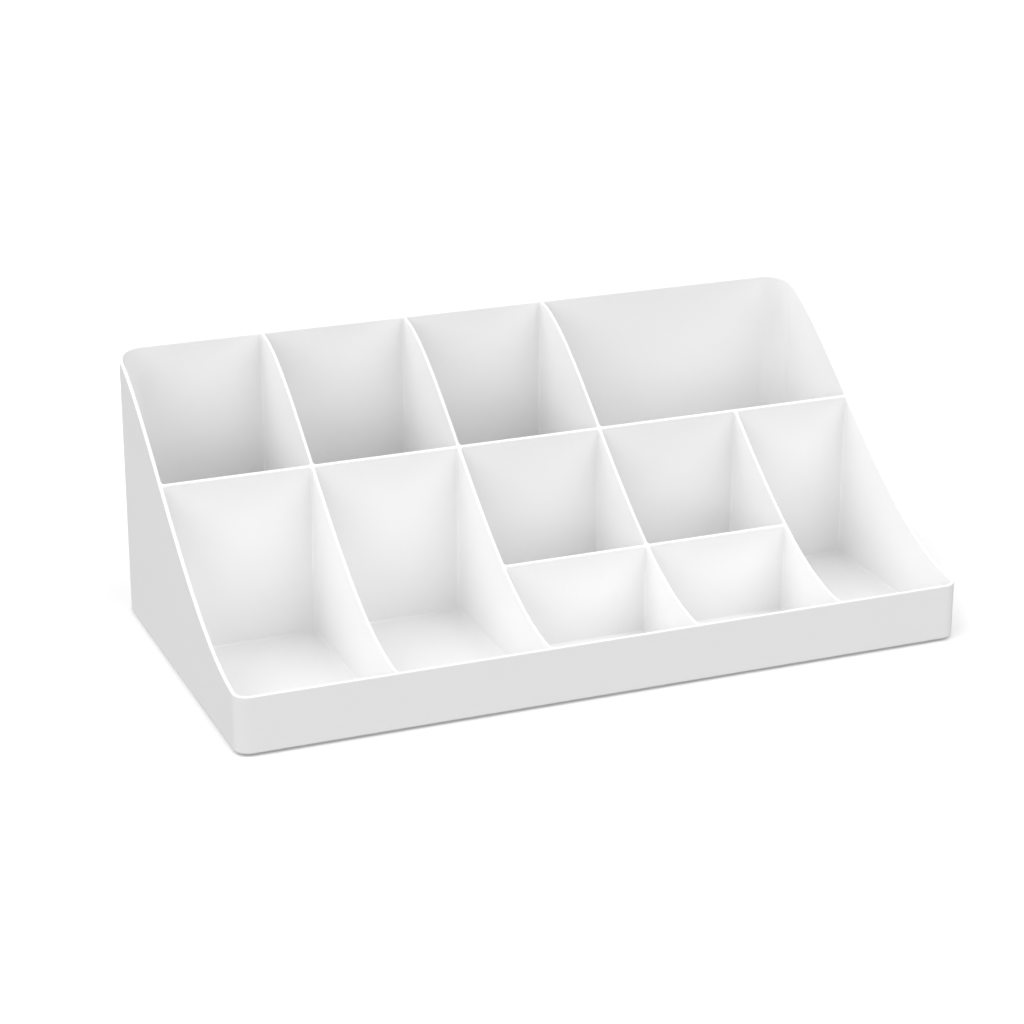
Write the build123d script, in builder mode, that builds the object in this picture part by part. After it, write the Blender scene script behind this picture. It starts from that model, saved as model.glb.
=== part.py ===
from build123d import *
import os

# A tiered organizer tray: one moulding with eleven open compartments, on four rubber feet.
# +X is right, +Y is back and +Z is up. The origin is on the table, under the middle of the
# footprint. All sizes are in millimetres.

# The tray's outside
width = 464.0
depth = 250.0
front_height = 37.1
back_height = 170.1
front_corner_radius = 9.0
back_corner_radius = 19.0
base_edge_radius = 1.2

# Its thicknesses
outer_wall = 2.2
divider = 1.8
floor = 2.8

# Its rims, which all lie on one surface. In side view the surface leaves the front level,
# climbs most steeply halfway back and ends level at the back. A pull is the length of the
# curve's handle at that end.
front_pull = 93.4
back_pull = 58.0
rim_radius = 0.5

# Its compartments: four equal columns from the left, and what is left over on the right
cell_width = 93.4
back_cell_depth = 95.7
equal_columns = 4
cell_corner_radius = 3.0
cell_floor_radius = 2.0

# Its feet
foot_radius = 6.0
foot_stand = 1.5
foot_seat_depth = 0.8
foot_seat_gap = 0.15
foot_edge_radius = 0.4
foot_inset = 22.0

# Where the walls stand
inner_width = width - 2 * outer_wall
inner_depth = depth - 2 * outer_wall
base_z = foot_stand
floor_z = base_z + floor
first_divider_x = -inner_width / 2 + cell_width + divider / 2
divider_x = [first_divider_x + (cell_width + divider) * i for i in range(equal_columns)]
middle_wall_y = inner_depth / 2 - back_cell_depth - divider / 2
front_zone_depth = middle_wall_y - divider / 2 + inner_depth / 2
front_wall_y = -inner_depth / 2 + front_zone_depth / 2

seat_points = [
    (side * (width / 2 - foot_inset), end * (depth / 2 - foot_inset))
    for end in (-1, 1)
    for side in (-1, 1)
]


def strip(x_from, x_to, y_from, y_to):
    """Takes a straight wall's plan out of the sketch that is being drawn."""
    with Locations(((x_from + x_to) / 2, (y_from + y_to) / 2)):
        Rectangle(x_to - x_from, y_to - y_from, mode=Mode.SUBTRACT)


# The compartments' plan: the tray's inside, parted by the dividers and the two cross walls
with BuildSketch(Plane.XY.offset(floor_z)) as cells:
    Rectangle(inner_width, inner_depth)
    # Three dividers run from front to back, and the last one only up to the middle wall
    for x in divider_x[:-1]:
        strip(x - divider / 2, x + divider / 2, -inner_depth / 2, inner_depth / 2)
    last_x = divider_x[-1]
    strip(last_x - divider / 2, last_x + divider / 2, -inner_depth / 2, middle_wall_y)
    # The middle wall runs from side to side, and the front one between two dividers
    strip(-inner_width / 2, inner_width / 2, middle_wall_y - divider / 2, middle_wall_y + divider / 2)
    strip(divider_x[1], last_x, front_wall_y - divider / 2, front_wall_y + divider / 2)
    # Every corner is rounded, and the outline's four corners follow the tray's outside
    corners = cells.vertices().sort_by(lambda corner: abs(corner.X) / width + abs(corner.Y) / depth)
    fillet(corners[:-4], cell_corner_radius)
    for row, radius in ((0, front_corner_radius), (-1, back_corner_radius)):
        ends = cells.vertices().group_by(Axis.Y)[row].sort_by(Axis.X)
        fillet([ends[0], ends[-1]], radius - outer_wall)

with BuildPart() as tray:
    # The side view, drawn across the whole width
    with BuildSketch(Plane.YZ):
        with BuildLine():
            rim = Bezier(
                (-depth / 2, front_height),
                (-depth / 2 + front_pull, front_height),
                (depth / 2 - back_pull, back_height),
                (depth / 2, back_height),
            )
            Polyline(rim @ 1, (depth / 2, base_z), (-depth / 2, base_z), rim @ 0)
        make_face()
    extrude(amount=width / 2, both=True)
    fillet(tray.edges().filter_by(Axis.Z).group_by(Axis.Y)[0], front_corner_radius)
    fillet(tray.edges().filter_by(Axis.Z).group_by(Axis.Y)[-1], back_corner_radius)
    fillet(tray.faces().sort_by(Axis.Z)[0].edges(), base_edge_radius)
    # The compartments, open at the top
    extrude(cells.sketch, amount=back_height, mode=Mode.SUBTRACT)
    fillet(tray.edges().filter_by_position(Axis.Z, floor_z, floor_z), cell_floor_radius)
    fillet(tray.faces().filter_by(GeomType.EXTRUSION).sort_by(SortBy.AREA)[-1].edges(), rim_radius)
    # The feet's seats, in the underside
    with BuildSketch(Plane.XY.offset(base_z)):
        with Locations(*seat_points):
            Circle(foot_radius + foot_seat_gap)
    extrude(amount=foot_seat_depth, mode=Mode.SUBTRACT)

os.makedirs("parts", exist_ok=True)
tray.part.label = "tray"
export_step(tray.part, "parts/tray.step")

# A foot: a rubber disc, in its seat from the table up
for (x, y), name in zip(seat_points, ("front_left", "front_right", "back_left", "back_right")):
    with BuildPart() as foot:
        with BuildSketch():
            with Locations((x, y)):
                Circle(foot_radius)
        extrude(amount=foot_stand + foot_seat_depth)
        fillet(foot.faces().sort_by(Axis.Z)[0].edges(), foot_edge_radius)
    foot.part.label = "foot_" + name
    export_step(foot.part, "parts/foot_" + name + ".step")
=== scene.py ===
"""The looks of a tiered organizer tray: a moulding with eleven open compartments, on rubber feet."""

import logging
import math
from dataclasses import dataclass, field
from enum import Enum
from typing import Any, Iterable, Mapping, Sequence, Union

import bmesh
import bpy
import numpy as np
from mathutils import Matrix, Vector
from mathutils.geometry import delaunay_2d_cdt

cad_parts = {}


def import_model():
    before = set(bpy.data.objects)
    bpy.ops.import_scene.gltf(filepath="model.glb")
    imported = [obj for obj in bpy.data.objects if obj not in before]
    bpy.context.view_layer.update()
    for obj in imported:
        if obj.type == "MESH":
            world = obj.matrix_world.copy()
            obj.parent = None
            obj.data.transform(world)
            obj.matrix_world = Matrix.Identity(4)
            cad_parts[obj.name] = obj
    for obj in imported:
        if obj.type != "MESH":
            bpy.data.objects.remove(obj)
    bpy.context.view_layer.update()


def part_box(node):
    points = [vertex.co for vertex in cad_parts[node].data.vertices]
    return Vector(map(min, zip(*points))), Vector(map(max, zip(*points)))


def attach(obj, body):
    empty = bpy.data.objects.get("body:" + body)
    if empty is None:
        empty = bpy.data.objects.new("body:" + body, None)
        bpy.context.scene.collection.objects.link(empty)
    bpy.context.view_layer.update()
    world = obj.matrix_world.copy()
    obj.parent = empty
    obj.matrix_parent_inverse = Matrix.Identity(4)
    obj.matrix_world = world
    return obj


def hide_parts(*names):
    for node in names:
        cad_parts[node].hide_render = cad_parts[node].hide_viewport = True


Array = np.ndarray
MM = 0.001
SEWING_GAP = 0.002 * MM
PLAN_TOLERANCE = 0.001 * MM
FLAT_TOLERANCE = 1e-9
CURVE_POINTS = 2001
WHITE = (1.0, 1.0, 1.0, 1.0)
LOG = logging.getLogger("organizer")


# ---------------------------------------------------------------------------
# Plan: where the walls stand
# ---------------------------------------------------------------------------


class Corner(Enum):
    """A rectangle's corners in the order a ring meets them, anticlockwise from above.

    Each holds its side in x, its side in y (0 is low, 1 is high) and the angle in degrees at
    which its round begins.
    """

    FRONT_LEFT = (0, 0, 180)
    FRONT_RIGHT = (1, 0, 270)
    BACK_RIGHT = (1, 1, 0)
    BACK_LEFT = (0, 1, 90)


@dataclass(frozen=True)
class Wall:
    """An upright wall in plan: its two faces, and the seam along its rim where the skins meet.

    Args:
        low: where its face on the lower side is.
        seam: where the seam is.
        high: where its face on the higher side is.
    """

    low: float
    seam: float
    high: float


@dataclass(frozen=True)
class Rect:
    """A rectangle in plan, as its lowest and highest x and its lowest and highest y."""

    x: tuple[float, float]
    y: tuple[float, float]


@dataclass(frozen=True)
class Ring:
    """A closed row of stations round a compartment, or round the tray.

    Args:
        wall: points on the wall's face, in plan.
        facing: the wall's unit normal at each, out of the plastic.
        seam: the point of the rim's seam that belongs to each.
    """

    wall: Array
    facing: Array
    seam: Array


@dataclass(frozen=True)
class RimCurve:
    """The side view that every rim follows: one cubic curve from the low front to the high back.

    It leaves the front level, climbs most steeply halfway and ends level at the back. A pull is
    the length of the handle at that end.
    """

    front: float
    back: float
    front_height: float
    back_height: float
    front_pull: float
    back_pull: float

    def _trace(self) -> tuple[Array, Array]:
        """Traces the curve as its four handles, weighted by the cubic's four polynomials.

        Returns:
            The depths and the heights of closely spaced points along it.
        """
        t = np.linspace(0.0, 1.0, CURVE_POINTS)[:, None]
        weights = np.hstack([(1 - t) ** 3, 3 * (1 - t) ** 2 * t, 3 * (1 - t) * t**2, t**3])
        after_front, before_back = self.front + self.front_pull, self.back - self.back_pull
        depths = weights @ [self.front, after_front, before_back, self.back]
        heights = weights @ [self.front_height, self.front_height, self.back_height, self.back_height]
        return depths, heights

    def height(self, y: Array) -> Array:
        """Gives the rim's height at each depth y."""
        return np.interp(y, *self._trace())

    def slope(self, y: Array) -> Array:
        """Gives the rim's slope, its rise over its run, at each depth y."""
        depths, heights = self._trace()
        return np.interp(y, depths, np.gradient(heights, depths))


def stations(walls: Sequence[Wall], reach: float, steps: int, spacing: float) -> Array:
    """Places stations along a seam that crosses a row of walls.

    Beside each wall they run evenly from its seam to where the round of its corner ends, and
    between walls they fill the rest with even steps no longer than the spacing.

    Args:
        walls: the walls that are crossed, in order.
        reach: the corner's radius.
        steps: how many stations lie beside each face of a wall.
        spacing: the longest step between walls.

    Returns:
        The stations, in rising order.
    """
    runs = []
    for wall, following in zip(walls[:-1], walls[1:]):
        start, stop = wall.high + reach, following.low - reach
        count = max(1, math.ceil((stop - start) / spacing))
        runs.append(np.linspace(wall.seam, start, steps + 1)[:-1])
        runs.append(np.linspace(start, stop, count + 1)[:-1])
        runs.append(np.linspace(stop, following.seam, steps + 1)[:-1])
    return np.append(np.concatenate(runs), walls[-1].seam)


def plan_ring(
    face: Rect,
    seam: Rect,
    radii: Mapping[Corner, float],
    steps: Mapping[Corner, int],
    outer: Iterable[Corner],
    along_x: Array,
    along_y: Array,
    inward: bool,
) -> Ring:
    """Walks round a rectangle with round corners and pairs each point with a point of the seam.

    A corner's points are its centre plus its radius times an evenly turned direction. Its seam
    is a round with the same centre where it is the tray's own corner, and elsewhere the two
    legs of the rectangle of seams.

    Args:
        face: the wall faces.
        seam: the seams behind them.
        radii: each corner's radius.
        steps: each corner's number of steps, an even number.
        outer: the corners that are the tray's own.
        along_x: stations of the seams that run in x.
        along_y: stations of the seams that run in y.
        inward: whether the walls face the middle.

    Returns:
        The ring, anticlockwise from above.
    """
    walls, normals, seams = [], [], []
    corners = list(Corner)
    for corner, following in zip(corners, corners[1:] + corners[:1]):
        side_x, side_y, first = corner.value
        radius = radii[corner]
        centre = np.array(
            [
                face.x[side_x] + (radius if side_x == 0 else -radius),
                face.y[side_y] + (radius if side_y == 0 else -radius),
            ]
        )
        tip = np.array([seam.x[side_x], seam.y[side_y]])
        turn = np.linspace(0.0, 1.0, steps[corner] + 1)
        angle = np.radians(first + 90 * turn)
        outward = np.column_stack([np.cos(angle), np.sin(angle)])
        walls.append(centre + radius * outward)
        normals.append(outward)
        if corner in outer:
            seams.append(centre + abs(tip[0] - centre[0]) * outward)
        else:
            leading, trailing = np.minimum(1, 2 * turn), np.minimum(1, 2 * (1 - turn))
            legs = (trailing, leading) if side_x == side_y else (leading, trailing)
            seams.append(centre + (tip - centre) * np.column_stack(legs))
        # The straight side from this corner to the next one
        runs_in_x = side_x == side_y
        next_x, next_y, _ = following.value
        next_radius = radii[following]
        if runs_in_x:
            low, high = sorted(
                (centre[0], face.x[next_x] + (next_radius if next_x == 0 else -next_radius))
            )
            line = along_x[(along_x > low + PLAN_TOLERANCE) & (along_x < high - PLAN_TOLERANCE)]
            line = line if side_x == 0 else line[::-1]
            walls.append(np.column_stack([line, np.full_like(line, face.y[side_y])]))
            seams.append(np.column_stack([line, np.full_like(line, seam.y[side_y])]))
        else:
            low, high = sorted(
                (centre[1], face.y[next_y] + (next_radius if next_y == 0 else -next_radius))
            )
            line = along_y[(along_y > low + PLAN_TOLERANCE) & (along_y < high - PLAN_TOLERANCE)]
            line = line if side_y == 0 else line[::-1]
            walls.append(np.column_stack([np.full_like(line, face.x[side_x]), line]))
            seams.append(np.column_stack([np.full_like(line, seam.x[side_x]), line]))
        normals.append(np.tile(np.round(outward[-1]), (len(line), 1)))
    sign = -1.0 if inward else 1.0
    return Ring(np.vstack(walls), sign * np.vstack(normals), np.vstack(seams))


# ---------------------------------------------------------------------------
# Skins: surfaces on a grid of two parameters, sewn into one closed mesh
# ---------------------------------------------------------------------------


class Skin:
    """Grids of points, sewn into one mesh where their edges coincide."""

    def __init__(self) -> None:
        """Starts with no points and no faces."""
        self._points: list[Array] = []
        self._faces: list[list[int]] = []
        self._count = 0

    def _add(self, points: Array, faces: Array) -> None:
        """Adds points, and faces that number them from 0."""
        self._faces.extend((faces + self._count).tolist())
        self._points.append(points)
        self._count += len(points)

    def add_rings(self, rows: Array, underneath: bool = False) -> None:
        """Adds closed rings of points, joined each to the next.

        Args:
            rows: the rings, as an array of ring, point and coordinate. They run anticlockwise.
            underneath: whether the face of the skin is on the other side.
        """
        count, length = rows.shape[:2]
        here = np.arange((count - 1) * length).reshape(count - 1, length)
        beside = np.roll(here, -1, axis=1)
        quads = np.stack([here, beside, beside + length, here + length], axis=-1).reshape(-1, 4)
        self._add(rows.reshape(-1, 3), quads[:, ::-1] if underneath else quads)

    def add_plate(self, outline: Array, holes: Sequence[Array], height: float) -> None:
        """Fills a flat outline that faces down, around its holes, with triangles.

        Args:
            outline: the plate's outline in plan, anticlockwise.
            holes: the holes' outlines in plan.
            height: how high the plate lies.
        """
        loops = [outline, *holes]
        starts = np.cumsum([0] + [len(loop) for loop in loops])
        edges = [
            (start + step, start + (step + 1) % len(loop))
            for start, loop in zip(starts.tolist(), loops)
            for step in range(len(loop))
        ]
        flat = [Vector(point) for point in np.vstack(loops).tolist()]
        points, _, triangles, *_ = delaunay_2d_cdt(flat, edges, [], 1, FLAT_TOLERANCE)
        plan = np.array([tuple(point) for point in points])
        faces = np.array(triangles)
        middles = plan[faces].mean(axis=1)
        for hole in holes:
            centre = hole.mean(axis=0)
            radius = np.linalg.norm(hole - centre, axis=1).min()
            outside = np.linalg.norm(middles - centre, axis=1) > radius * math.cos(math.pi / len(hole))
            faces, middles = faces[outside], middles[outside]
        self._add(np.column_stack([plan, np.full(len(plan), height)]), faces[:, ::-1])

    def build(self, name: str, material: bpy.types.Material) -> bpy.types.Object:
        """Makes the mesh, with coinciding points merged and every face smooth.

        Args:
            name: the object's name.
            material: what it is made of.

        Returns:
            The new object, linked to the scene.
        """
        mesh = bpy.data.meshes.new(name)
        mesh.from_pydata(np.vstack(self._points).tolist(), [], self._faces)
        sewing = bmesh.new()
        sewing.from_mesh(mesh)
        bmesh.ops.remove_doubles(sewing, verts=sewing.verts, dist=SEWING_GAP)
        sewing.to_mesh(mesh)
        sewing.free()
        mesh.polygons.foreach_set("use_smooth", np.ones(len(mesh.polygons), bool))
        mesh.materials.append(material)
        mesh.update()
        piece = bpy.data.objects.new(name, mesh)
        bpy.context.scene.collection.objects.link(piece)
        return piece


def rolled_edge(ring: Ring, curve: RimCurve, radius: float, steps: int) -> Array:
    """Rounds a rim's edge as a ball rolled along it would.

    The ball touches the wall and the rim's surface. Each point is the ball's centre plus its
    radius times a direction that turns evenly from the wall's normal to the rim's.

    Args:
        ring: the wall below the edge.
        curve: the rim's side view.
        radius: the ball's radius.
        steps: how many steps the turn takes.

    Returns:
        The rows of points, from the rim's surface to the wall.
    """
    plan = ring.wall - radius * ring.facing
    slope = curve.slope(plan[:, 1])
    stretch = np.sqrt(1 + slope**2)
    centre = np.column_stack([plan, curve.height(plan[:, 1]) - radius * stretch])
    up = np.column_stack([np.zeros_like(slope), -slope, np.ones_like(slope)]) / stretch[:, None]
    side = np.column_stack([ring.facing, np.zeros_like(slope)])
    angle = np.arccos(np.sum(up * side, axis=1))[:, None]
    turn = np.linspace(0.0, 1.0, steps + 1)[:, None, None]
    towards = (np.sin((1 - turn) * angle) * up + np.sin(turn * angle) * side) / np.sin(angle)
    return centre + radius * towards


def rim_rows(ring: Ring, curve: RimCurve, radius: float, steps: int, band_steps: int) -> Array:
    """Runs a rim from its seam to the wall below it: a straight band, then the rolled edge.

    The band's points go evenly from the seam to the rolled edge in plan, at the curve's height.

    Args:
        ring: the wall below.
        curve: the rim's side view.
        radius: the edge's radius.
        steps: the rolled edge's steps.
        band_steps: the band's steps.

    Returns:
        The rows of points, from the seam down.
    """
    edge = rolled_edge(ring, curve, radius, steps)
    share = np.linspace(0.0, 1.0, band_steps + 1)[:-1, None, None]
    plan = (1 - share) * ring.seam + share * edge[0, :, :2]
    band = np.concatenate([plan, curve.height(plan[..., 1:])], axis=2)
    return np.concatenate([band, edge])


def wall_rows(ring: Ring, top: Array, bottom: float, support: float) -> Array:
    """Drops a wall from a row of points to a level height, with a row close to each end."""
    heights = np.stack([top - support, np.full_like(top, bottom + support)])
    plan = np.broadcast_to(ring.wall, (2, *ring.wall.shape))
    return np.concatenate([plan, heights[..., None]], axis=2)


def foot_rows(ring: Ring, floor: float, radius: float, steps: int, support: float) -> Array:
    """Turns a wall into the floor below it by a quarter circle, and goes on a little way.

    At an angle a the surface has moved radius * (1 - cos a) out from the wall, and it is
    radius * (1 - sin a) above the floor.

    Args:
        ring: the wall.
        floor: the floor's height.
        radius: the quarter circle's radius.
        steps: its steps.
        support: how far the last row lies beyond it.

    Returns:
        The rows of points, from the wall to the floor.
    """
    angle = np.linspace(0.0, math.pi / 2, steps + 1)
    out = np.append(radius * (1 - np.cos(angle)), radius + support)
    up = np.append(floor + radius * (1 - np.sin(angle)), floor)
    plan = ring.wall + out[:, None, None] * ring.facing
    heights = np.broadcast_to(up[:, None, None], (*plan.shape[:2], 1))
    return np.concatenate([plan, heights], axis=2)


def turned(profile: Array, centre: Sequence[float], segments: int) -> Array:
    """Turns a profile about an upright axis: radius times the cosine and sine of even angles.

    Args:
        profile: points of radius and height.
        centre: the axis in plan.
        segments: how many points each ring has.

    Returns:
        One ring for each point of the profile.
    """
    angle = np.linspace(0.0, 2 * math.pi, segments, endpoint=False)
    circle = np.column_stack([np.cos(angle), np.sin(angle)])
    plan = np.asarray(centre) + profile[:, None, :1] * circle
    heights = np.broadcast_to(profile[:, None, 1:], (*plan.shape[:2], 1))
    return np.concatenate([plan, heights], axis=2)


def quarter(centre: Sequence[float], radius: float, start: float, stop: float, steps: int = 5) -> Array:
    """Gives the points of an arc in a profile, from one angle in degrees to another."""
    angle = np.radians(np.linspace(start, stop, steps + 1))
    return np.asarray(centre) + radius * np.column_stack([np.cos(angle), np.sin(angle)])


# ---------------------------------------------------------------------------
# Finishes
# ---------------------------------------------------------------------------

Operand = Union["Shade", float]


class Shade:
    """A shader value that Python arithmetic extends with Math nodes."""

    def __init__(self, sheet: "NodeSheet", socket: bpy.types.NodeSocket) -> None:
        """Wraps a socket of a sheet."""
        self.sheet = sheet
        self.socket = socket

    def _math(self, operation: str, *operands: Operand) -> "Shade":
        """Adds a Math node on these operands, in order."""
        return self.sheet.node("ShaderNodeMath", {"operation": operation}, dict(enumerate(operands)))[0]

    def __add__(self, other: Operand) -> "Shade":
        """Adds."""
        return self._math("ADD", self, other)

    def __radd__(self, other: Operand) -> "Shade":
        """Adds to a number."""
        return self._math("ADD", other, self)

    def __sub__(self, other: Operand) -> "Shade":
        """Subtracts."""
        return self._math("SUBTRACT", self, other)

    def __rsub__(self, other: Operand) -> "Shade":
        """Is subtracted from a number."""
        return self._math("SUBTRACT", other, self)

    def __mul__(self, other: Operand) -> "Shade":
        """Multiplies."""
        return self._math("MULTIPLY", self, other)

    def __rmul__(self, other: Operand) -> "Shade":
        """Multiplies a number."""
        return self._math("MULTIPLY", other, self)

    def over(self, level: float) -> "Shade":
        """Gives 1 where this is above a level, and 0 elsewhere."""
        return self._math("GREATER_THAN", self, level)


class NodeSheet:
    """The nodes of a material or of the world, all added by one method."""

    def __init__(self, owner: Union[bpy.types.Material, bpy.types.World]) -> None:
        """Clears the owner's nodes."""
        owner.use_nodes = True
        self.tree = owner.node_tree
        self.tree.nodes.clear()

    def node(
        self,
        kind: str,
        settings: Mapping[str, Any],
        sockets: Mapping[Union[str, int], Any],
    ) -> list[Shade]:
        """Adds a node.

        Args:
            kind: the node's type.
            settings: its properties, which are set first.
            sockets: a value or a link for each input that is named or numbered.

        Returns:
            Its enabled outputs.
        """
        node = self.tree.nodes.new(kind)
        for name, value in settings.items():
            setattr(node, name, value)
        for key, value in sockets.items():
            if isinstance(value, Shade):
                self.tree.links.new(value.socket, node.inputs[key])
            else:
                node.inputs[key].default_value = value
        return [Shade(self, socket) for socket in node.outputs if socket.enabled]

    def noise(self, place: Shade, size: float, detail: float = 2.0) -> Shade:
        """Gives soft noise between 0 and 1, with features of this size in metres."""
        return self.node(
            "ShaderNodeTexNoise", {}, {"Vector": place, "Scale": 1 / size, "Detail": detail}
        )[0]

    def between(self, factor: Shade, first: Sequence[float], second: Sequence[float]) -> Shade:
        """Mixes two colours by a factor."""
        return self.node(
            "ShaderNodeMix",
            {"data_type": "RGBA"},
            {"Factor": factor, 6: (*first, 1.0), 7: (*second, 1.0)},
        )[0]


@dataclass(frozen=True)
class MouldedFinish:
    """A moulded surface: its colours, its shine and its relief.

    Args:
        name: the material's name.
        low: the colour where the mottle is low.
        high: the colour where the mottle is high.
        roughness: the mean roughness.
        roughness_spread: how much it varies.
        refraction: the index of refraction.
        mottle_size: the size of the mottle's features.
        grain_size: the size of the tool's grain.
        grain_depth: its depth.
        flow_size: the size of the slow waves that cooling leaves.
        flow_depth: their depth.
    """

    name: str
    low: tuple[float, float, float]
    high: tuple[float, float, float]
    roughness: float
    roughness_spread: float
    refraction: float
    mottle_size: float
    grain_size: float
    grain_depth: float
    flow_size: float
    flow_depth: float

    def material(self) -> bpy.types.Material:
        """Makes the material.

        Returns:
            The material.
        """
        material = bpy.data.materials.new(self.name)
        sheet = NodeSheet(material)
        place = sheet.node("ShaderNodeTexCoord", {}, {})[3]
        mottle = sheet.noise(place, self.mottle_size, 3.0)
        relief = self.grain_depth * sheet.noise(place, self.grain_size)
        relief = relief + self.flow_depth * sheet.noise(place, self.flow_size, 1.0)
        normal = sheet.node("ShaderNodeBump", {}, {"Strength": 1.0, "Distance": 1.0, "Height": relief})[0]
        surface = sheet.node(
            "ShaderNodeBsdfPrincipled",
            {},
            {
                "Base Color": sheet.between(mottle, self.low, self.high),
                "Roughness": self.roughness + self.roughness_spread * (mottle - 0.5),
                "IOR": self.refraction,
                "Normal": normal,
            },
        )[0]
        sheet.node("ShaderNodeOutputMaterial", {}, {"Surface": surface})
        return material


# ---------------------------------------------------------------------------
# The organizer
# ---------------------------------------------------------------------------


@dataclass(frozen=True)
class Bay:
    """A compartment, named by the walls round it.

    Args:
        name: what it is called.
        left: the number of its left wall, counted from the left.
        right: the number of its right wall.
        front: the number of its front wall, counted from the front.
        back: the number of its back wall.
    """

    name: str
    left: int
    right: int
    front: int
    back: int


BAYS = (
    Bay("back first", 0, 1, 2, 3),
    Bay("back second", 1, 2, 2, 3),
    Bay("back third", 2, 3, 2, 3),
    Bay("back wide", 3, 5, 2, 3),
    Bay("long first", 0, 1, 0, 2),
    Bay("long second", 1, 2, 0, 2),
    Bay("long last", 4, 5, 0, 2),
    Bay("middle third", 2, 3, 1, 2),
    Bay("middle fourth", 3, 4, 1, 2),
    Bay("front third", 2, 3, 0, 1),
    Bay("front fourth", 3, 4, 0, 1),
)


EQUAL_COLUMNS = 4


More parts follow.
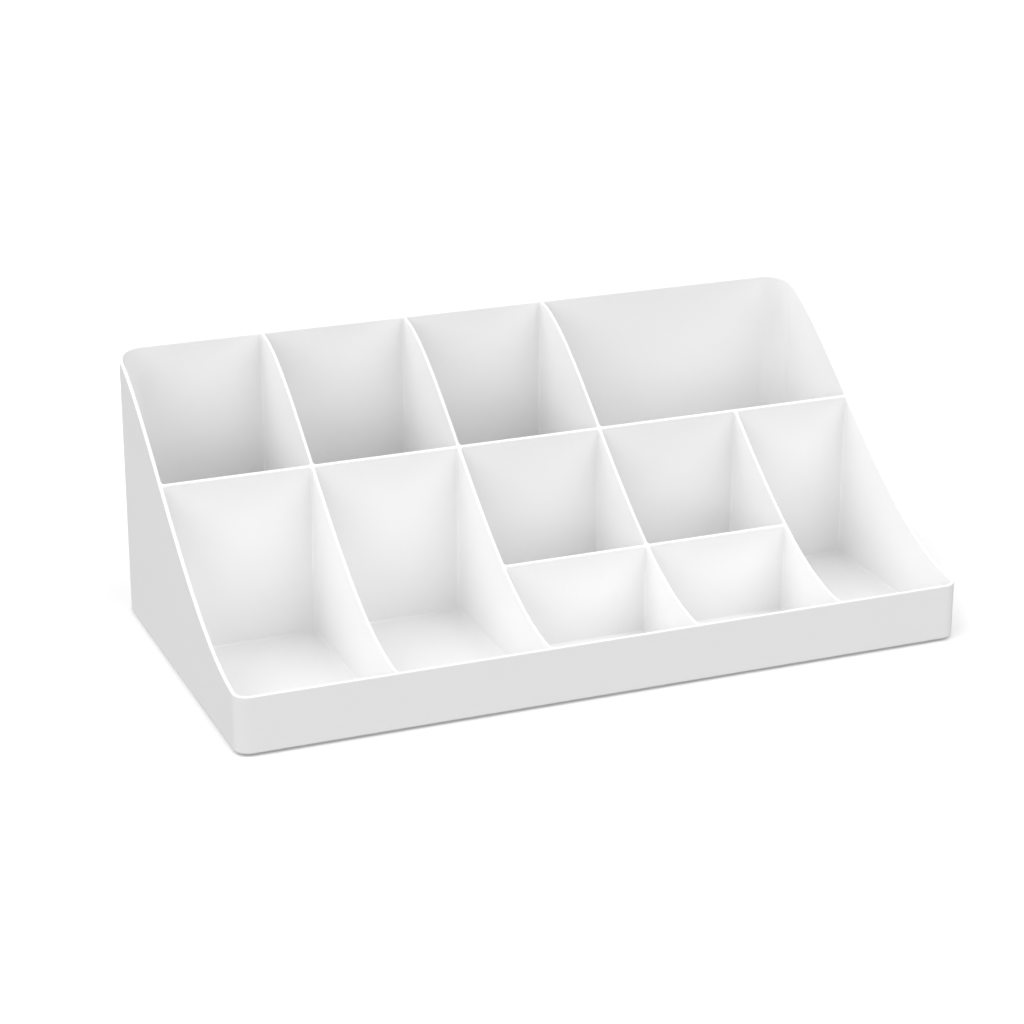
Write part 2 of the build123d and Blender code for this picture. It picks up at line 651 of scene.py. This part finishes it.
@dataclass
class TrayMoulding:
    """The moulded tray: its skin over every compartment, its outside and its underside.

    Its footprint and its base come from the frame, and the rest are its own sizes, in metres.
    """

    width: float
    depth: float
    base: float
    front_height: float = 37.1 * MM
    back_height: float = 170.1 * MM
    front_pull: float = 93.4 * MM
    back_pull: float = 58.0 * MM
    outer_wall: float = 2.2 * MM
    divider: float = 1.8 * MM
    floor: float = 2.8 * MM
    cell_width: float = 93.4 * MM
    back_cell_depth: float = 95.7 * MM
    cell_corner: float = 1.5 * MM
    cell_foot: float = 0.8 * MM
    front_corner: float = 9.0 * MM
    back_corner: float = 19.0 * MM
    rim_edge: float = 0.5 * MM
    outer_rim_edge: float = 0.6 * MM
    base_edge: float = 1.2 * MM
    seam_shift: float = 0.3 * MM
    support: float = 0.25 * MM
    seat_points: tuple[tuple[float, float], ...] = ()
    seat_radius: float = 6.15 * MM
    seat_depth: float = 0.8 * MM
    seat_edge: float = 0.3 * MM
    gate_radius: float = 4.5 * MM
    gate_depth: float = 0.6 * MM
    gate_nub: float = 0.9 * MM
    step_x: float = 12 * MM
    step_y: float = 3.5 * MM
    corner_steps: int = 8
    outer_steps: tuple[int, int] = (14, 24)
    edge_steps: int = 6
    outer_edge_steps: int = 8
    seat_segments: int = 64
    gate_segments: int = 48
    columns: list[Wall] = field(init=False)
    rows: list[Wall] = field(init=False)
    rim: RimCurve = field(init=False)
    along_x: Array = field(init=False)
    along_y: Array = field(init=False)

    def __post_init__(self) -> None:
        """Works out where the walls stand and where the stations lie."""
        half = self.divider / 2
        right = self.width / 2 - self.outer_wall
        back = self.depth / 2 - self.outer_wall
        middles = [
            -right + self.cell_width + half + (self.cell_width + self.divider) * step
            for step in range(EQUAL_COLUMNS)
        ]
        middle_y = back - self.back_cell_depth - half
        front_y = (middle_y - half - back) / 2
        seam_inset = self.outer_wall / 2
        self.columns = [Wall(-self.width / 2, -self.width / 2 + seam_inset, -right)]
        self.columns += [Wall(x - half, x, x + half) for x in middles]
        self.columns += [Wall(right, self.width / 2 - seam_inset, self.width / 2)]
        self.rows = [Wall(-self.depth / 2, -self.depth / 2 + seam_inset, -back)]
        self.rows += [Wall(y - half, y - self.seam_shift, y + half) for y in (front_y, middle_y)]
        self.rows += [Wall(back, self.depth / 2 - seam_inset, self.depth / 2)]
        self.rim = RimCurve(
            -self.depth / 2,
            self.depth / 2,
            self.front_height,
            self.back_height,
            self.front_pull,
            self.back_pull,
        )
        half_steps = self.corner_steps // 2
        self.along_x = stations(self.columns, self.cell_corner, half_steps, self.step_x)
        self.along_y = stations(self.rows, self.cell_corner, half_steps, self.step_y)

    def _outline_radius(self, side_y: int) -> float:
        """Gives the tray's own corner radius at the front (0) or the back (1)."""
        return (self.front_corner, self.back_corner)[side_y]

    def bay_ring(self, bay: Bay) -> Ring:
        """Walks round a compartment's walls."""
        left, right = self.columns[bay.left], self.columns[bay.right]
        front, back = self.rows[bay.front], self.rows[bay.back]
        last_column, last_row = len(self.columns) - 1, len(self.rows) - 1
        at_wall = {
            0: (bay.left == 0, bay.front == 0),
            1: (bay.right == last_column, bay.back == last_row),
        }
        outer = {
            corner
            for corner in Corner
            if at_wall[corner.value[0]][0] and at_wall[corner.value[1]][1]
        }
        radii = {
            corner: self._outline_radius(corner.value[1]) - self.outer_wall
            if corner in outer
            else self.cell_corner
            for corner in Corner
        }
        steps = {
            corner: self.outer_steps[corner.value[1]] if corner in outer else self.corner_steps
            for corner in Corner
        }
        return plan_ring(
            Rect((left.high, right.low), (front.high, back.low)),
            Rect((left.seam, right.seam), (front.seam, back.seam)),
            radii,
            steps,
            outer,
            self.along_x,
            self.along_y,
            inward=True,
        )

    def outside_ring(self) -> Ring:
        """Walks round the tray's outside."""
        left, right, front, back = self.columns[0], self.columns[-1], self.rows[0], self.rows[-1]
        return plan_ring(
            Rect((left.low, right.high), (front.low, back.high)),
            Rect((left.seam, right.seam), (front.seam, back.seam)),
            {corner: self._outline_radius(corner.value[1]) for corner in Corner},
            {corner: self.outer_steps[corner.value[1]] for corner in Corner},
            set(Corner),
            self.along_x,
            self.along_y,
            inward=False,
        )

    def add_bay(self, skin: Skin, bay: Bay) -> None:
        """Adds a compartment: half of its walls' rims, its walls, their feet and its floor."""
        ring = self.bay_ring(bay)
        floor = self.base + self.floor
        rim = rim_rows(ring, self.rim, self.rim_edge, self.edge_steps, 2)
        walls = wall_rows(ring, rim[-1, :, 2], floor + self.cell_foot, self.support)
        feet = foot_rows(ring, floor, self.cell_foot, self.edge_steps, self.support)
        middle = np.broadcast_to([*ring.wall.mean(axis=0), floor], (1, *feet.shape[1:]))
        skin.add_rings(np.concatenate([rim, walls, feet, middle]))

    def add_outside(self, skin: Skin) -> None:
        """Adds the outer half of the outline's rim, the outer walls and the underside."""
        ring = self.outside_ring()
        rim = rim_rows(ring, self.rim, self.outer_rim_edge, self.outer_edge_steps, 1)
        walls = wall_rows(ring, rim[-1, :, 2], self.base + self.base_edge, self.support)
        tucked = Ring(ring.wall, -ring.facing, ring.seam)
        edge = foot_rows(tucked, self.base, self.base_edge, self.edge_steps, self.support)
        skin.add_rings(np.concatenate([rim, walls, edge]), underneath=True)
        marks = [self.seat(point) for point in self.seat_points]
        marks += [self.gate((x, 0.0)) for x in (self.columns[1].seam, self.columns[4].seam)]
        for mark in marks:
            skin.add_rings(mark, underneath=True)
        skin.add_plate(edge[-1, :, :2], [mark[0, :, :2] for mark in marks], self.base)

    def seat(self, centre: tuple[float, float]) -> Array:
        """Makes a foot's round seat: an eased edge, an upright wall and a flat roof."""
        edge, radius, roof = self.seat_edge, self.seat_radius, self.base + self.seat_depth
        profile = np.vstack(
            [
                [radius + 2 * edge, self.base],
                quarter((radius + edge, self.base + edge), edge, 270, 180),
                quarter((radius - edge, roof - edge), edge, 0, 90),
                [0.0, roof],
            ]
        )
        return turned(profile, centre, self.seat_segments)

    def gate(self, centre: tuple[float, float]) -> Array:
        """Makes the mark where the plastic came in: a shallow dish round a small broken nub.

        Towards the nub the dish rises as the squared sine of a quarter turn. The nub is a short
        cone that hangs halfway down the dish, with a slight lip round its broken end.
        """
        share = np.linspace(0.0, 1.0, 9)[:-1]
        dish_radius = self.gate_radius * (1 - share) + self.gate_nub * share
        dish_height = self.base + self.gate_depth * np.sin(share * math.pi / 2) ** 2
        top = self.base + self.gate_depth
        end, lip = 0.5 * self.gate_depth, 0.55 * self.gate_depth
        profile = np.vstack(
            [
                np.column_stack([dish_radius, dish_height]),
                [self.gate_nub, top],
                [0.7 * self.gate_nub, top - end],
                [0.6 * self.gate_nub, top - lip],
                [0.0, top - end],
            ]
        )
        return turned(profile, centre, self.gate_segments)

    def make(self, finish: MouldedFinish) -> bpy.types.Object:
        """Builds the tray in one closed mesh.

        Args:
            finish: what it is moulded from.

        Returns:
            The tray's object.
        """
        skin = Skin()
        for bay in BAYS:
            self.add_bay(skin, bay)
        self.add_outside(skin)
        piece = skin.build("tray_moulding", finish.material())
        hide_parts("tray")
        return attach(piece, "root")


@dataclass
class RubberFoot:
    """A rubber foot: a disc with an eased rim, a ring groove and a dished sole.

    Args:
        node: the frame's node that it stands for.
        edge: the radius of the sole's outer edge.
        groove: how deep the ring groove in the sole is.
        dish: how deep the sole's middle is dished.
        ring_share: where the groove runs, as a share of the foot's radius.
        dish_share: how far out the dish goes, as a share of the foot's radius.
        segments: how many points go round the foot.
    """

    node: str
    edge: float = 0.5 * MM
    groove: float = 0.35 * MM
    dish: float = 0.12 * MM
    ring_share: float = 0.62
    dish_share: float = 0.45
    segments: int = 64

    def make(self, material: bpy.types.Material) -> bpy.types.Object:
        """Builds the foot inside its node's box.

        Args:
            material: the rubber.

        Returns:
            The foot's object.
        """
        low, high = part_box(self.node)
        radius = (high.x - low.x) / 2
        bottom, top = low.z, high.z
        ring, out = self.ring_share * radius, self.dish_share * radius
        sole = np.linspace(0.0, 1.0, 7)
        dished = bottom + self.dish * (1 + np.cos(math.pi * sole)) / 2
        angle = np.linspace(0.0, math.pi, 9)
        profile = np.vstack(
            [
                np.column_stack([out * sole, dished]),
                np.column_stack([ring - self.groove * np.cos(angle), bottom + self.groove * np.sin(angle)]),
                quarter((radius - self.edge, bottom + self.edge), self.edge, 270, 360, 7),
                quarter((radius - self.edge / 2, top - self.edge / 2), self.edge / 2, 0, 90, 5),
                [0.0, top],
            ]
        )
        skin = Skin()
        centre = ((low.x + high.x) / 2, (low.y + high.y) / 2)
        skin.add_rings(turned(profile, centre, self.segments))
        piece = skin.build(self.node.replace("foot", "rubber_foot"), material)
        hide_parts(self.node)
        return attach(piece, "root")


# ---------------------------------------------------------------------------
# The studio
# ---------------------------------------------------------------------------


@dataclass(frozen=True)
class Lamp:
    """A distant soft lamp.

    Args:
        name: what it is called.
        azimuth: where it stands, in degrees from the front to the right.
        elevation: how high it stands above the horizon, in degrees.
        spread: the angle that it fills, in degrees.
        strength: its strength, in watts per square metre.
    """

    name: str
    azimuth: float
    elevation: float
    spread: float
    strength: float

    def make(self) -> None:
        """Adds the lamp, turned to shine from where it stands."""
        light = bpy.data.lights.new(self.name, "SUN")
        light.energy = self.strength
        light.angle = math.radians(self.spread)
        holder = bpy.data.objects.new(self.name, light)
        backward = direction(self.azimuth, self.elevation)
        holder.rotation_euler = backward.to_track_quat("Z", "Y").to_euler()
        bpy.context.scene.collection.objects.link(holder)


LAMPS = (
    Lamp("front_right", 45, 45, 60, 1.54),
    Lamp("left", -90, 45, 60, 1.26),
    Lamp("front_left", -45, 20, 40, 0.73),
    Lamp("back_left", -135, 45, 60, 0.67),
    Lamp("front", 0, 15, 40, 0.25),
)


def direction(azimuth: float, elevation: float) -> Vector:
    """Gives the unit vector towards an azimuth from the front and an elevation, in degrees."""
    around, above = math.radians(azimuth), math.radians(elevation)
    level = math.cos(above)
    return Vector((math.sin(around) * level, -math.cos(around) * level, math.sin(above)))


@dataclass(frozen=True)
class Studio:
    """A pale lit floor, a soft sky, broad soft lamps all round and the camera.

    Args:
        floor_reach: half the floor's side.
        floor_grey: the floor's reflectance.
        floor_glow: the light that the floor gives out itself.
        sky: the sky's strength above the horizon.
        fill: the strength of the light from below the horizon.
        aim: the point that the camera looks at.
        distance: how far the camera is from it.
        azimuth: the camera's angle from the front, in degrees, to the right.
        elevation: the camera's angle above the horizon, in degrees.
        lens: the focal length, in millimetres.
        sensor: the sensor's width, in millimetres.
        sight: how far the camera sees.
    """

    floor_reach: float = 12.0
    floor_grey: float = 0.85
    floor_glow: float = 0.05
    sky: float = 0.55
    fill: float = 0.30
    aim: tuple[float, float, float] = (-15.2 * MM, 0.0, 75.45 * MM)
    distance: float = 1.7594
    azimuth: float = -21.88
    elevation: float = 20.57
    lens: float = 99.78
    sensor: float = 36.0
    sight: float = 100.0

    def add_floor(self) -> None:
        """Adds the floor, which the camera sees but which throws no light back on the object."""
        reach = self.floor_reach
        corners = [(x * reach, y * reach, 0.0) for x, y in ((-1, -1), (1, -1), (1, 1), (-1, 1))]
        mesh = bpy.data.meshes.new("floor")
        mesh.from_pydata(corners, [], [(0, 1, 2, 3)])
        material = bpy.data.materials.new("pale_floor")
        sheet = NodeSheet(material)
        place = sheet.node("ShaderNodeTexCoord", {}, {})[3]
        grey = self.floor_grey
        colour = sheet.between(sheet.noise(place, 0.5), (grey,) * 3, (grey * 1.01,) * 3)
        surface = sheet.node(
            "ShaderNodeBsdfPrincipled",
            {},
            {
                "Base Color": colour,
                "Roughness": 0.9,
                "Emission Color": WHITE,
                "Emission Strength": self.floor_glow,
            },
        )[0]
        sheet.node("ShaderNodeOutputMaterial", {}, {"Surface": surface})
        mesh.materials.append(material)
        floor = bpy.data.objects.new("floor", mesh)
        floor.visible_diffuse = False
        floor.visible_glossy = False
        floor.visible_shadow = False
        bpy.context.scene.collection.objects.link(floor)

    def add_light(self) -> None:
        """Adds the lamps and the sky, whose strength changes at the horizon."""
        world = bpy.data.worlds.new("sky")
        sheet = NodeSheet(world)
        towards = sheet.node("ShaderNodeTexCoord", {}, {})[0]
        above = sheet.node("ShaderNodeSeparateXYZ", {}, {"Vector": towards})[2].over(0.0)
        strength = self.fill + (self.sky - self.fill) * above
        glow = sheet.node("ShaderNodeBackground", {}, {"Color": WHITE, "Strength": strength})[0]
        sheet.node("ShaderNodeOutputWorld", {}, {"Surface": glow})
        bpy.context.scene.world = world
        for lamp in LAMPS:
            lamp.make()

    def add_camera(self) -> None:
        """Adds the camera, on a sphere round the point it looks at, and the view's colours."""
        scene = bpy.context.scene
        backward = direction(self.azimuth, self.elevation)
        camera = bpy.data.cameras.new("camera")
        camera.sensor_width = self.sensor
        camera.lens = self.lens
        camera.clip_end = self.sight
        holder = bpy.data.objects.new("camera", camera)
        holder.location = Vector(self.aim) + self.distance * backward
        holder.rotation_euler = backward.to_track_quat("Z", "Y").to_euler()
        scene.collection.objects.link(holder)
        scene.camera = holder
        scene.view_settings.view_transform = "Standard"
        scene.view_settings.look = "None"

    def make(self) -> None:
        """Sets the whole studio up."""
        self.add_floor()
        self.add_light()
        self.add_camera()


WHITE_PLASTIC = MouldedFinish(
    name="white_moulded_plastic",
    low=(0.795, 0.795, 0.795),
    high=(0.805, 0.805, 0.805),
    roughness=0.42,
    roughness_spread=0.05,
    refraction=1.53,
    mottle_size=0.045,
    grain_size=0.9 * MM,
    grain_depth=0.006 * MM,
    flow_size=28 * MM,
    flow_depth=0.05 * MM,
)
GREY_RUBBER = MouldedFinish(
    name="grey_rubber",
    low=(0.50, 0.50, 0.49),
    high=(0.58, 0.58, 0.57),
    roughness=0.75,
    roughness_spread=0.12,
    refraction=1.52,
    mottle_size=3 * MM,
    grain_size=0.35 * MM,
    grain_depth=0.01 * MM,
    flow_size=4 * MM,
    flow_depth=0.02 * MM,
)
FEET = ("foot_front_left", "foot_front_right", "foot_back_left", "foot_back_right")


def report(piece: bpy.types.Object) -> None:
    """Logs a piece's name and its number of faces."""
    LOG.info("%s: %d faces", piece.name, len(piece.data.polygons))


def main() -> None:
    """Builds the organizer over its frame, and the studio round it."""
    logging.basicConfig(level=logging.INFO, format="%(name)s: %(message)s")
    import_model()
    low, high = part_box("tray")
    seats = [(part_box(node)[0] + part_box(node)[1]) / 2 for node in FEET]
    tray = TrayMoulding(
        width=high.x - low.x,
        depth=high.y - low.y,
        base=low.z,
        seat_points=tuple((seat.x, seat.y) for seat in seats),
    )
    report(tray.make(WHITE_PLASTIC))
    rubber = GREY_RUBBER.material()
    for node in FEET:
        report(RubberFoot(node).make(rubber))
    Studio().make()


if __name__ == "__main__":
    main()
